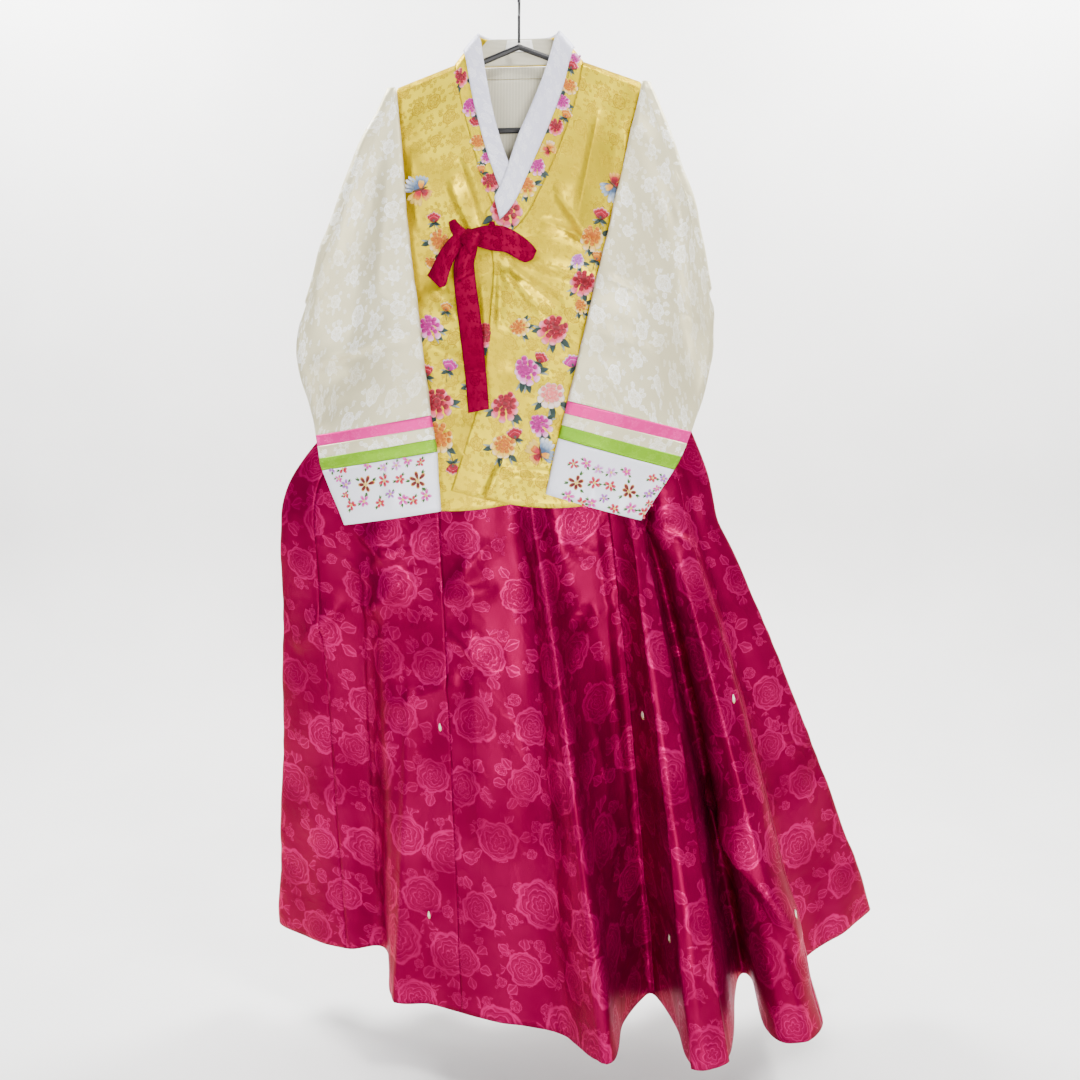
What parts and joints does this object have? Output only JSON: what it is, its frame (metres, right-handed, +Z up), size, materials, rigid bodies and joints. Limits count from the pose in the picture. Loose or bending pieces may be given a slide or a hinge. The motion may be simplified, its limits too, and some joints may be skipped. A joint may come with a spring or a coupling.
{
  "type": "hanbok on a hanger",
  "caption": "Lapped short jacket with banded sleeves and a tied ribbon over a long full skirt, hung by its shoulders on a hanger.",
  "frame": {"origin": "where the hanger's hook rests on a rail, the lowest point of the inside of its bend's top", "axes": "+Z up, -Y towards the viewer of the garment's front, +X to that viewer's right"},
  "size_m": [1.001, 0.4784, 1.4838],
  "materials": {
    "hanger plastic": "black, smooth",
    "yellow satin": "golden jacquard satin",
    "white satin": "white jacquard satin",
    "ivory satin": "ivory jacquard satin",
    "pink satin": "pink satin",
    "green satin": "green satin",
    "cream lining": "fine ribbed lining",
    "magenta satin": "magenta rose jacquard satin",
    "crimson ribbon": "dark crimson jacquard"
  },
  "bodies": {
    "root": {"back": "yellow satin", "back_lining": "cream lining", "band_cream_left": "ivory satin", "band_cream_right": "ivory satin", "band_green_left": "green satin", "band_green_right": "green satin", "band_pink_left": "pink satin", "band_pink_right": "pink satin", "chima_panel_1": "magenta satin", "chima_panel_2": "magenta satin", "chima_panel_3": "magenta satin", "chima_panel_4": "magenta satin", "chima_panel_5": "magenta satin", "chima_panel_6": "magenta satin", "chima_panel_7": "magenta satin", "chima_strap_left": "magenta satin", "chima_strap_right": "magenta satin", "chima_waistband": "magenta satin", "collar_lining": "cream lining", "cuff_left": "white satin", "cuff_right": "white satin", "dongjeong": "white satin", "front_inner": "yellow satin", "front_outer": "yellow satin", "git": "yellow satin", "goreum_end": "crimson ribbon", "goreum_knot": "crimson ribbon", "goreum_loop": "crimson ribbon", "goreum_tail": "crimson ribbon", "hanger_frame": "hanger plastic", "hanger_hook": "hanger plastic", "neck_label": "white satin", "sleeve_left": "ivory satin", "sleeve_right": "ivory satin", "yoke_lining": "cream lining"}
  },
  "joints": []
}
